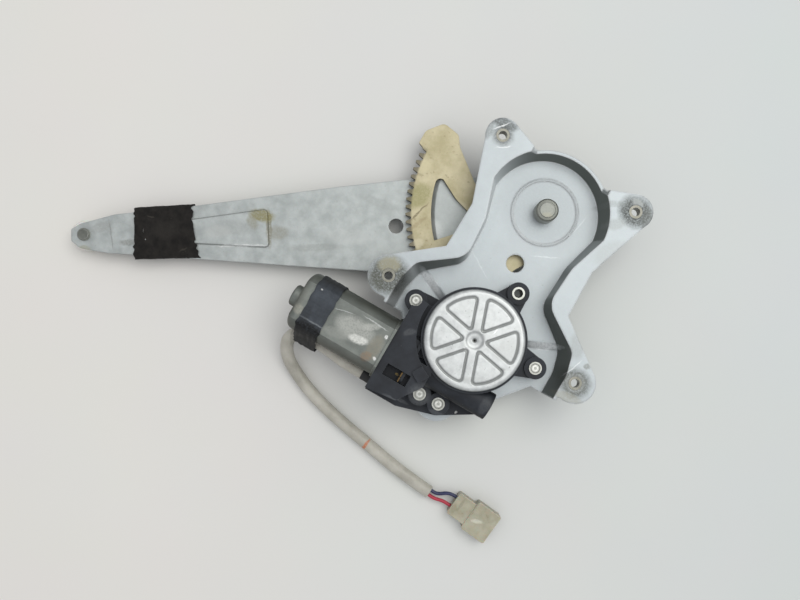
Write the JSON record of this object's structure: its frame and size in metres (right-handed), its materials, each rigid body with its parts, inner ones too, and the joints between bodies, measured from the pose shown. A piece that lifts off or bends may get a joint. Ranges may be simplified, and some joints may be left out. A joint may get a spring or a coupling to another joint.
{
  "type": "window regulator",
  "caption": "Power window regulator for a rear car door: a pressed base plate, a toothed sector with one lift arm and roller, and a worm-gear motor with its lead and plug.",
  "frame": {"origin": "midway between the two upper mounting holes, on the face of the mounting ears", "axes": "+X along the upper row of mounting holes, away from the lift arm; +Y across the rows, from the motor towards the pivot; +Z out of the pan, the side the motor is on, so the ears' face is Z 0"},
  "size_m": [0.3235, 0.2286, 0.051],
  "materials": {
    "zinc_steel": "dull zinc plate",
    "cream_steel": "yellow passivated, dirty",
    "arm_steel": "dull",
    "bright_steel": "turned",
    "cover_steel": "bright pressed sheet",
    "yoke_steel": "satin grey",
    "housing_plastic": "moulded",
    "natural_nylon": "moulded",
    "white_acetal": "moulded",
    "felt_tape": "fleece",
    "cloth_tape": "woven",
    "vinyl_sleeve": "soft",
    "wire_insulation": "smooth",
    "black_rubber": "moulded",
    "bronze": "sintered",
    "copper": "drawn",
    "tinned_brass": "tinned",
    "laminations": "stamped",
    "ferrite": "sintered",
    "carbon": "pressed"
  },
  "bodies": {
    "base": {"base_plate": "zinc_steel", "weld_nuts": "zinc_steel", "pivot_pin": "bright_steel", "pivot_washer": "bright_steel", "gear_housing": "housing_plastic", "screw_sleeves": "zinc_steel", "mounting_screws": "zinc_steel", "case_stud": "zinc_steel", "gear_cover": "cover_steel", "output_bush": "bronze", "thrust_washer": "bright_steel", "motor_yoke": "yoke_steel", "field_magnets": "ferrite", "rear_bearing": "bronze", "worm_bushes": "bronze", "thrust_button": "white_acetal", "brush_holder": "natural_nylon", "brushes": "carbon", "brush_springs": "bright_steel", "thermal_breaker": "tinned_brass", "motor_terminals": "tinned_brass", "lead_sleeve": "vinyl_sleeve", "lead_grommet": "black_rubber", "lead_wires": "wire_insulation", "plug_housing": "natural_nylon", "plug_terminals": "tinned_brass", "motor_tape": "cloth_tape"},
    "arm": {"sector_gear": "cream_steel", "lift_arm": "arm_steel", "arm_rivets": "bright_steel", "hub_bush": "bronze", "arm_felt": "felt_tape", "roller_stud": "bright_steel"},
    "roller": {"glass_roller": "white_acetal"},
    "output_gear": {"output_shaft": "bright_steel", "worm_wheel": "white_acetal", "damper_rubber": "black_rubber", "drive_plate": "bright_steel", "retaining_clip": "bright_steel"},
    "armature": {"armature_shaft": "bright_steel", "armature_core": "laminations", "armature_windings": "copper", "commutator": "copper"}
  },
  "joints": [
    {"name": "lift_swing", "type": "hinge", "parent": "base", "child": "arm", "pos_m": [0, -0.0232, 0], "axis": [0, 0, 1], "range_deg": [0, 76], "deforming": ["lead_sleeve"]},
    {"name": "output_spin", "type": "hinge", "parent": "base", "child": "output_gear", "pos_m": [0, -0.1117, 0], "axis": [0, 0, 1], "range_deg": [-1206, 1]},
    {"name": "armature_spin", "type": "hinge", "parent": "base", "child": "armature", "pos_m": [0, -0.1405, -0.002], "axis": [1, 0, 0], "range_deg": [-10, 69910]},
    {"name": "roller_spin", "type": "hinge", "parent": "arm", "child": "roller", "pos_m": [-0.2381, -0.1743, -0.0335], "axis": [0, 0, 1], "continuous": true}
  ],
  "couplings": [
    {"joint": "output_spin", "follows": "lift_swing", "ratio": -15.857},
    {"joint": "armature_spin", "follows": "lift_swing", "ratio": 919.71}
  ]
}
